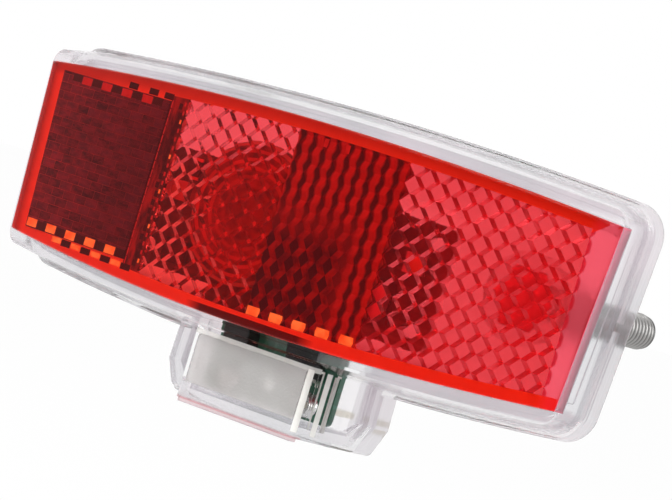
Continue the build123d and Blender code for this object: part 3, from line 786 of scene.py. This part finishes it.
def brick_look():
    """Fine reflex field: small bricks with lighter joints, darker to the right."""
    look = Nodes("fine_reflex")
    x, _, z = look.axes()
    bricks = look.add(
        "ShaderNodeTexBrick",
        Vector=look.add("ShaderNodeCombineXYZ", X=x, Y=z).outputs[0],
        Color1=rgb(0.155, 0.10, 0.24),
        Color2=rgb(0.010, 0.01, 0.06),
        Mortar=rgb(0.50, 0.22, 0.26),
        Scale=1.0,
        Mortar_Size=0.06,
        Mortar_Smooth=0.8,
        Bias=0.0,
        Brick_Width=2.5,
        Row_Height=1.25,
    )
    patchy = look.math("MULTIPLY", look.speckle(0.38, 0.66, 110.0, 5.0, 0.65), 0.55)
    fine = look.speckle(0.40, 0.62, 1400.0, 4.0, 0.7, (0.35, 1.0, 1.0))
    shaded = look.math("MULTIPLY", look.rise(x, -47.0, 20.0), 0.55)
    tone = look.mix(patchy, bricks.outputs[0], rgb(0.035, 0.010, 0.040))
    tone = look.mix(look.math("MULTIPLY", fine, 0.5), tone, rgb(0.34, 0.10, 0.20))
    tone = look.mix(shaded, tone, rgb(0.055, 0.010, 0.045))
    normal = look.bump(bricks.outputs["Fac"], 0.5, 0.0002)
    return look.principled(Base_Color=tone, Roughness=0.35, Normal=normal)


def wavy_stripes(look):
    """Masks of the centre field: its dark wavy stripes, and the part that is lit."""
    x, _, z = look.axes()
    swing = look.math("SINE", look.math("MULTIPLY", z, WAVE_TURN))
    wobble = look.math("MULTIPLY", look.noise(420.0, 2.0), 0.5)
    waved = look.math("ADD", x, look.math("MULTIPLY_ADD", swing, WAVE_DEPTH, wobble))
    shifted = look.math("DIVIDE", look.math("ADD", waved, STRIPE_SHIFT), STRIPE_PITCH)
    lit = look.either(look.rise(z, *LIT_ABOVE), look.rise(x, *LIT_RIGHT))
    return look.both(look.band(look.math("FRACT", shifted), *STRIPE_DARK, 0.08), lit), lit


def centre_look():
    look = Nodes("centre_reflex")
    stripe, lit = wavy_stripes(look)
    mottled = look.speckle(0.40, 0.60, 520.0, 4.0, 0.65)
    tone = look.mix(mottled, rgb(0.12, 0.02, 0.05), rgb(0.34, 0.04, 0.05))
    tone = look.mix(look.math("MULTIPLY", lit, 0.75), tone, rgb(0.64, 0.10, 0.09))
    tone = look.mix(look.math("MULTIPLY", stripe, 0.8), tone, rgb(0.06, 0.01, 0.03))
    normal = look.bump(look.noise(700.0, 3.0), 0.3, 0.0003)
    return look.principled(Base_Color=tone, Roughness=0.3, Normal=normal)


def centre_shaded_face_look():
    """The one face of each cube in the centre field, in painted shade: a darker copy of the field's
    look.
    """
    look = Nodes("centre_reflex_shaded_face")
    stripe, lit = wavy_stripes(look)
    tone = look.mix(look.noise(330.0, 4.0, 0.6), rgb(0.025, 0.006, 0.03), rgb(0.075, 0.012, 0.05))
    tone = look.mix(look.math("MULTIPLY", lit, 0.85), tone, rgb(0.60, 0.08, 0.07))
    tone = look.mix(look.math("MULTIPLY", stripe, 0.94), tone, rgb(0.04, 0.01, 0.03))
    return look.principled(Base_Color=tone, Roughness=0.3)


build_lens(
    {
        "front": plain(
            "red_acrylic", (900.0, 4.0), rgb(0.87, 0.034, 0.030), rgb(0.93, 0.042, 0.038),
            relief=(120.0, 2.0, 0.02, 0.0003), **CLEAR_RED,
        ),
        "border": border_look(),
        "side": side_look(),
        "pink": plain(
            "red_acrylic_pink", (180.0, 3.0), rgb(0.95, 0.28, 0.66), rgb(1.0, 0.48, 1.0),
            Roughness=0.35, IOR=ACRYLIC_IOR, Transmission_Weight=0.9,
        ),
        "prism": prism_look(),
        "scales": scales_look(),
        "brick": brick_look(),
        "cells": centre_look(),
        "shaded_face": centre_shaded_face_look(),
        "strip": strip_look(),
        "orange": orange_glow_look(),
        "black": plain(
            "reflex_black", (800.0, 4.0), rgb(0.025, 0.001, 0.004), rgb(0.055, 0.003, 0.010),
            Roughness=0.3,
        ),
        "bright": plain(
            "reflex_bright", (800.0, 4.0), rgb(0.45, 0.02, 0.02), rgb(0.72, 0.16, 0.16),
            Roughness=0.3,
        ),
    },
    plain(
        "red_lacquer", (400.0, 4.0), rgb(0.42, 0.012, 0.012), rgb(0.62, 0.030, 0.026),
        relief=(900.0, 3.0, 0.15, 0.0002), Roughness=0.35,
    ),
)

# Clear housing: planes on which solids touch, and the bands of its parts in x, y and z. A band
# of the distance from x = 0 starts below zero, so that it has no gap in the middle.
PARTING_Y, BOARD_BACK_Y, WELD = -4.5, -2.9, 0.02
POCKET_SIDE, POCKET_Z = (-1.0, 13.2), (-24.9, -14.8)
FLOOR_SIDE, FLOOR_BAND_Z, FLOOR_FRONT_Y = (-1.0, 48.0), (-12.6, 13.6), -3.5
PANEL_SIDE, PANEL_Y, PANEL_Z = (-1.0, 10.1), (-10.7, -9.0), (-24.8, -17.9)
# The ribs of the +x side and a line along the panel's top carry painted highlights
RIB_X, RIB_Z = (10.3, 13.4), (-26.4, -17.6)
RIB_BANDS_Y = ((-8.05, -7.25), (-5.3, -4.4), (-11.0, -10.0))
LINE_SIDE, LINE_FRONT_Y, LINE_Z = (-1.0, 13.0), -9.0, (-17.95, -17.25)
FOOT_FRONT_Y, FOOT_EDGE_Z, FOOT_Z = -9.2, (-27.3, -26.9), (-27.9, -26.9)


def housing(name, milk, tint_low, tint_high):
    """Milky shell with clear windows, painted highlights on the ribs of the +x side and along the
    top of the pocket's panel, and the pocket's frosted panel.
    """
    look = Nodes(name)
    x, y, z = look.axes()
    side = look.math("ABSOLUTE", x)
    pocket = look.both(look.band(z, *POCKET_Z, 0.1), look.band(side, *POCKET_SIDE, 0.1))
    tray_floor = look.both(
        look.band(z, *FLOOR_BAND_Z, 0.4),
        look.band(side, *FLOOR_SIDE, 0.4),
        look.math("GREATER_THAN", y, FLOOR_FRONT_Y),
    )
    panel = look.both(
        look.band(side, *PANEL_SIDE), look.band(z, *PANEL_Z), look.band(y, *PANEL_Y, 0.02)
    )
    # Painted highlights: the ribs on the +x side, then the line along the panel's top at 0.7
    painted_highlights = look.both(
        look.either(*[look.band(y, low, high, 0.04) for low, high in RIB_BANDS_Y]),
        look.both(look.band(x, *RIB_X), look.band(z, *RIB_Z)),
    )
    line = look.both(
        look.band(z, *LINE_Z, 0.04),
        look.band(side, *LINE_SIDE, 0.1),
        look.math("LESS_THAN", y, LINE_FRONT_Y),
    )
    painted_highlights = look.either(painted_highlights, look.math("MULTIPLY", line, 0.7))
    foot = look.either(
        look.band(z, *FOOT_EDGE_Z, 0.06), look.math("MULTIPLY", look.band(z, *FOOT_Z), 0.4)
    )
    foot = look.both(foot, look.math("LESS_THAN", y, FOOT_FRONT_Y))
    streaks = look.math("MULTIPLY", look.noise(900.0, 2.0, 0.5, (0.15, 1.0, 1.0)), 0.12)
    ripple = look.math("ADD", look.noise(70.0, 3.0), streaks)
    tone = look.mix(look.speckle(0.4, 0.62, 45.0, 2.0), tint_low, tint_high)
    shell = look.shader(
        Base_Color=look.mix(look.math("MULTIPLY", foot, 0.7), tone, rgb(0.62, 0.16, 0.18)),
        Roughness=0.22,
        IOR=1.12,
        Transmission_Weight=milk,
        Coat_Weight=0.25,
        Coat_Roughness=0.06,
        Normal=look.bump(ripple, 0.12, 0.0006),
    )
    pane = look.shader(
        Base_Color=look.mix(look.noise(200.0), grey(0.96), grey(1.0)),
        Roughness=0.02,
        IOR=1.06,
        Transmission_Weight=1.0,
    )
    clouds = look.speckle(0.38, 0.6, 85.0, 2.0)
    frosted = look.shader(
        Base_Color=look.mix(clouds, rgb(0.50, 0.47, 0.46), rgb(0.66, 0.64, 0.63)),
        Roughness=0.45,
        IOR=1.2,
        Transmission_Weight=0.45,
        Normal=look.bump(look.noise(2500.0, 3.0), 0.25, 0.0002),
    )
    # Painted highlight of the ribs: a pale, coated, nearly opaque look
    rib_highlight = look.shader(
        Base_Color=look.mix(look.noise(600.0, 3.0), rgb(0.76, 0.75, 0.70), rgb(0.90, 0.89, 0.86)),
        Roughness=0.25,
        IOR=1.2,
        Transmission_Weight=0.15,
        Coat_Weight=0.6,
    )
    surface = look.layer(look.either(pocket, tray_floor), shell, pane)
    surface = look.layer(painted_highlights, surface, rib_highlight)
    surface = look.layer(panel, surface, frosted)
    # Faces on which two clear solids touch let light through, as welded ones do
    welded = look.either(*[
        look.band(y, at - WELD, at + WELD, 0.01) for at in (PARTING_Y, BOARD_BACK_Y)
    ])
    nothing = look.add("ShaderNodeBsdfTransparent").outputs[0]
    return look.finish(look.layer(welded, surface, nothing))


dress(["lens_frame"], housing("clear_front", 0.93, rgb(0.79, 0.79, 0.81), rgb(0.88, 0.84, 0.87)))
dress(["rear_tray"], housing("clear_rear", 0.86, rgb(0.75, 0.75, 0.77), rgb(0.85, 0.81, 0.84)))
for name in ("lens_frame", "rear_tray"):
    rounded = NODES[name].modifiers.new("edges", "BEVEL")
    rounded.width = 0.12 * MM
    rounded.segments = 2
    rounded.limit_method = "ANGLE"
    rounded.angle_limit = math.radians(40)

# Zinc-plated M5 studs with rolled threads
STUD_X = 40.0
STUD_BACK, STUD_END = -7.5, 19.5
THREAD_PITCH, THREAD_CREST, THREAD_ROOT = 0.8, 2.48, 2.06
THREAD_SLOPE, THREAD_FLAT = 1.35, 0.15
THREAD_START, THREAD_STEP, THREAD_LAST = 0.2, 0.1, 18.8
FADE_START, FADE_SLOPE = 18.2, 0.35
HEAD_HALF_FLATS = 4.0
# Rings along the stud before and behind the thread: y, kind, and radius or what the head loses
HEAD_ROWS = (
    (STUD_BACK, "head", -0.3), (-7.35, "head", 0.0), (-5.67, "head", 0.0), (-5.52, "head", -0.25),
    (-5.52, "round", 2.8), (0.05, "round", 2.8), (THREAD_START, "round", 2.65),
    (THREAD_START, "thread", 0.0),
)
END_ROWS = ((19.0, "round", 2.3), (19.35, "round", 2.05), (STUD_END, "round", 1.8))
AROUND_STUD = 48


def steel_look():
    look = Nodes("zinc_steel")
    x, y, z = look.axes()
    off_axis = look.math("SUBTRACT", look.math("ABSOLUTE", x), STUD_X)
    # Painted shade in the thread's roots: near black at the root radius, rising to the plain tone
    # on the crest
    unshaded_crest = look.rise(look.radius(off_axis, z), 2.1, 0.3)
    ends = look.either(
        look.math("LESS_THAN", y, -0.1), look.math("GREATER_THAN", y, STUD_END - 0.05)
    )
    tone = look.mix(unshaded_crest, grey(0.02), rgb(0.40, 0.39, 0.38))
    tone = look.mix(ends, tone, rgb(0.80, 0.79, 0.77))
    wear = look.noise(500.0, 5.0, 0.6)
    return look.principled(
        Base_Color=look.mix(look.math("MULTIPLY", wear, 0.5), tone, grey(0.20)),
        Metallic=1.0,
        Roughness=look.math("MULTIPLY_ADD", wear, 0.25, 0.2),
        Normal=look.bump(look.noise(3000.0, 3.0), 0.2, 0.0001),
    )


def stud_radius(kind, value, y, share):
    """Radius of a ring of the stud at a share of the turn."""
    if kind == "head":
        off = (360 * share + 30) % 60 - 30
        return HEAD_HALF_FLATS / math.cos(math.radians(abs(off) - 30)) + value
    if kind == "thread":
        phase = (y / THREAD_PITCH - share) % 1.0
        wave = min(1.0, max(0.0, abs(2 * phase - 1) * THREAD_SLOPE - THREAD_FLAT))
        r = THREAD_ROOT + (THREAD_CREST - THREAD_ROOT) * wave
        return min(r, THREAD_CREST - max(0.0, y - FADE_START) * FADE_SLOPE)
    return value


def tube(steps, around):
    """Faces between rings of corners that follow each other."""
    faces = []
    for n in range(steps):
        for k in range(around):
            m = (k + 1) % around
            near, far = n * around, (n + 1) * around
            faces.append((near + k, near + m, far + m, far + k))
    return faces


def build_stud(name, cx, steel):
    """Hexagon head, plain collar and helical M5 thread, as rings along the stud."""
    rows = list(HEAD_ROWS)
    y = THREAD_START
    while y < THREAD_LAST:
        y += THREAD_STEP
        rows.append((y, "thread", 0.0))
    rows += END_ROWS
    verts = []
    for y, kind, value in rows:
        for k in range(AROUND_STUD):
            a = 2 * math.pi * k / AROUND_STUD
            r = stud_radius(kind, value, y, k / AROUND_STUD)
            verts.append((cx + r * math.cos(a), y, r * math.sin(a)))
    faces = tube(len(rows) - 1, AROUND_STUD)
    verts += [(cx, STUD_BACK, 0), (cx, STUD_END, 0)]
    last = (len(rows) - 1) * AROUND_STUD
    for k in range(AROUND_STUD):
        m = (k + 1) % AROUND_STUD
        faces.append((len(verts) - 2, m, k))
        faces.append((len(verts) - 1, last + k, last + m))
    smooth = [verts[f[0]][1] > 0.0 for f in faces]
    stud = piece("thread_" + name, verts, faces, [steel], smooth)
    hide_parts(name)


zinc = steel_look()
build_stud("stud_left", -STUD_X, zinc)
build_stud("stud_right", STUD_X, zinc)

# Circuit board and the parts on it
TRACK_PITCH_X, TRACK_PITCH_Z = 1.9, 2.3
MASK_FRONT_Y, LENS_FOOT_Z, LENS_FOOT_SPAN = -3.7, -16.5, 1.5
CAN_X, CAN_Z = -7.6, -0.3
MARK_X, MARK_Y = 15.3, -8.7
CHIP_CAPS, CAP_START = rgb(0.72, 0.70, 0.66), 1.12
UPPER_CHIPS_X, LOWER_CHIP_X, LOWER_ROW_Z = (5.6, 10.2), 9.4, -5.0
RESISTORS_Z = 3.5


def board_look():
    """Green solder mask over tracks, olive on the front behind the lens."""
    look = Nodes("board_laminate")
    x, y, z = look.axes()
    patch = look.speckle(0.48, 0.52, 95.0, 0.0)
    run_x = look.both(look.math("LESS_THAN", look.off_middle(x, TRACK_PITCH_X), 0.12), patch)
    run_z = look.both(
        look.math("LESS_THAN", look.off_middle(z, TRACK_PITCH_Z), 0.10),
        look.math("SUBTRACT", 1.0, patch),
    )
    tracks = look.either(run_x, run_z)
    mask = look.mix(look.noise(220.0, 3.0), rgb(0.010, 0.085, 0.045), rgb(0.020, 0.140, 0.075))
    mask = look.mix(tracks, mask, rgb(0.035, 0.160, 0.100))
    behind_lens = look.both(
        look.rise(z, LENS_FOOT_Z, LENS_FOOT_SPAN), look.math("LESS_THAN", y, MASK_FRONT_Y)
    )
    olive = look.mix(tracks, rgb(0.075, 0.080, 0.050), rgb(0.13, 0.13, 0.08))
    return look.principled(
        Base_Color=look.mix(behind_lens, mask, olive),
        Roughness=0.32,
        Coat_Weight=0.4,
        Normal=look.bump(tracks, 0.5, 0.00008),
    )


def tinned(name, tones, low, high, rough_noise, rough_span, rough_start):
    """Bare metal whose roughness wanders."""
    look = Nodes(name)
    return look.principled(
        Base_Color=look.mix(look.noise(*tones), low, high),
        Metallic=1.0,
        Roughness=look.math("MULTIPLY_ADD", look.noise(*rough_noise), rough_span, rough_start),
    )


def can_look():
    """Turned face of the storage capacitor, with pale arcs away from its middle."""
    look = Nodes("capacitor_can")
    x, _, z = look.axes()
    off_x, off_z = look.math("SUBTRACT", x, CAN_X), look.math("SUBTRACT", z, CAN_Z)
    radius = look.radius(off_x, off_z)
    turned = look.math("SINE", look.math("MULTIPLY", radius, 38.0))
    waves = look.math("SINE", look.math("MULTIPLY", radius, 5.2))
    arcs = look.both(look.math("GREATER_THAN", waves, 0.3), look.rise(radius, 3.0, 4.0))
    grain = look.speckle(0.38, 0.62, 420.0, 4.0)
    tone = look.mix(grain, rgb(0.14, 0.11, 0.08), rgb(0.40, 0.31, 0.22))
    return look.principled(
        Base_Color=look.mix(look.math("MULTIPLY", arcs, 0.6), tone, rgb(0.86, 0.72, 0.54)),
        Roughness=0.8,
        Specular_IOR_Level=0.1,
        Normal=look.bump(turned, 0.12, 0.00005),
    )


def aluminium_look():
    """Smoothing capacitor's can, with the dark half of its marked end."""
    look = Nodes("aluminium_can")
    x, y, _ = look.axes()
    half = look.both(look.math("LESS_THAN", x, MARK_X), look.math("LESS_THAN", y, MARK_Y))
    bare = look.mix(look.noise(800.0, 4.0), grey(0.62), grey(0.78))
    return look.principled(
        Base_Color=look.mix(half, bare, grey(0.02)),
        Metallic=look.math("SUBTRACT", 1.0, half),
        Roughness=0.34,
    )


def distance(look, value, middle):
    return look.math("ABSOLUTE", look.math("SUBTRACT", value, middle))


def capped_chips(look, off_middle, low, high):
    """Ceramic chips with metal caps at both ends."""
    capped = look.math("GREATER_THAN", off_middle, CAP_START)
    body = look.mix(look.noise(900.0, 4.0), low, high)
    return look.principled(
        Base_Color=look.mix(capped, body, CHIP_CAPS), Metallic=capped, Roughness=0.4
    )


def ceramic_look():
    """Tan capacitors: one in the lower row, two in the upper one."""
    look = Nodes("tan_ceramic")
    x, _, z = look.axes()
    low_row = look.math("LESS_THAN", z, LOWER_ROW_Z)
    upper_row = look.math("SUBTRACT", 1.0, low_row)
    upper = look.fold("MINIMUM", [distance(look, x, at) for at in UPPER_CHIPS_X])
    lower = distance(look, x, LOWER_CHIP_X)
    off = look.math("ADD", look.both(low_row, lower), look.both(upper_row, upper))
    return capped_chips(look, off, rgb(0.36, 0.24, 0.14), rgb(0.50, 0.35, 0.22))


def resistor_look():
    look = Nodes("resistor_ceramic")
    off = distance(look, look.axes()[2], RESISTORS_Z)
    return capped_chips(look, off, grey(0.012), grey(0.03))


dress(["circuit_board"], board_look())
dress(
    ["control_chip", "bridge_rectifier", "driver_transistor", "suppressor_diode", "smoothing_base"],
    plain(
        "black_epoxy", (1500.0, 4.0), grey(0.010), grey(0.026),
        relief=(5000.0, 3.0, 0.3, 0.0001), Roughness=0.52,
    ),
)
dress(
    ["chip_leads", "rectifier_leads", "transistor_leads"],
    tinned(
        "tinned_metal", (1200.0, 4.0), rgb(0.62, 0.60, 0.56), rgb(0.82, 0.80, 0.75),
        (900.0,), 0.25, 0.22,
    ),
)
dress(
    ["terminal_live", "terminal_earth"],
    tinned(
        "tinned_brass", (700.0, 4.0), rgb(0.66, 0.62, 0.52), rgb(0.80, 0.77, 0.70),
        (300.0, 4.0), 0.3, 0.15,
    ),
)
dress(
    ["capacitor_tabs"],
    plain(
        "nickel_strip", (600.0, 4.0), rgb(0.20, 0.15, 0.11), rgb(0.44, 0.35, 0.26),
        relief=(500.0, 4.0, 0.4, 0.0001), Metallic=0.4, Roughness=0.7,
    ),
)
dress(
    ["solder_joints"],
    plain(
        "solder", (600.0, 4.0), rgb(0.60, 0.60, 0.60), rgb(0.84, 0.83, 0.81),
        relief=(700.0, 3.0, 0.4, 0.0002), Metallic=1.0, Roughness=0.24,
    ),
)
dress(
    ["storage_inductor"],
    plain(
        "ferrite", (900.0, 5.0), grey(0.035), grey(0.075),
        relief=(2500.0, 4.0, 0.4, 0.0001), Roughness=0.62,
    ),
)
dress(
    ["led_left", "led_right"],
    plain(
        "led_body", (900.0, 3.0), rgb(0.74, 0.73, 0.69), rgb(0.86, 0.85, 0.80),
        relief=(3000.0, 2.0, 0.15, 0.0001), Roughness=0.42,
    ),
)
dress(["storage_capacitor"], can_look())
dress(["smoothing_capacitor"], aluminium_look())
dress(["ceramic_capacitors"], ceramic_look())
dress(["led_resistors"], resistor_look())

# Copper winding on the inductor's drum
DRUM_X, DRUM_Z, WINDING_RADIUS, WIRE = 9.6, -3.4, 2.42, 0.2
WINDING_Y, WINDING_LENGTH, LAPS = -5.42, 1.16, 4
AROUND_LAP, AROUND_WIRE = 40, 8


def build_winding():
    copper = plain(
        "copper_wire", (1500.0, 3.0), rgb(0.50, 0.16, 0.06), rgb(0.72, 0.28, 0.12),
        Metallic=1.0, Roughness=0.3,
    )
    verts = []
    total = AROUND_LAP * LAPS
    for n in range(total + 1):
        a = 2 * math.pi * n / AROUND_LAP
        y = WINDING_Y - WINDING_LENGTH * n / total
        for k in range(AROUND_WIRE):
            b = 2 * math.pi * k / AROUND_WIRE
            r = WINDING_RADIUS + WIRE * math.cos(b)
            x, z = DRUM_X + r * math.cos(a), DRUM_Z + r * math.sin(a)
            verts.append((x, y + WIRE * math.sin(b), z))
    faces = tube(total, AROUND_WIRE)
    faces.append(tuple(range(AROUND_WIRE)))
    faces.append(tuple(reversed(range(total * AROUND_WIRE, (total + 1) * AROUND_WIRE))))
    piece("drum_winding", verts, faces, [copper], [True] * len(faces))


# Phosphor domes in the light-emitting diodes
LED_X = 22.0
DOME_TOP_Y = -6.42
DOME_ROWS = ((0.4, -6.41), (0.75, -6.35), (1.02, -6.24), (1.1, -6.16), (0.95, -5.9))
AROUND_DOME = 28


def build_dome(name, cx, phosphor):
    verts = [(cx, DOME_TOP_Y, 0.0)]
    for r, y in DOME_ROWS:
        for k in range(AROUND_DOME):
            a = 2 * math.pi * k / AROUND_DOME
            verts.append((cx + r * math.cos(a), y, r * math.sin(a)))
    faces = [(0, 1 + k, 1 + (k + 1) % AROUND_DOME) for k in range(AROUND_DOME)]
    for near, m, far, k in tube(len(DOME_ROWS) - 1, AROUND_DOME):
        faces.append((1 + near, 1 + k, 1 + far, 1 + m))
    last = 1 + (len(DOME_ROWS) - 1) * AROUND_DOME
    faces.append(tuple(last + k for k in range(AROUND_DOME)))
    piece(name, verts, faces, [phosphor], [True] * len(faces))


build_winding()
yellow = plain(
    "phosphor", (1500.0, 3.0), rgb(0.80, 0.55, 0.10), rgb(0.92, 0.72, 0.22),
    Roughness=0.25, Coat_Weight=0.6,
)
build_dome("phosphor_left", -LED_X, yellow)
build_dome("phosphor_right", LED_X, yellow)
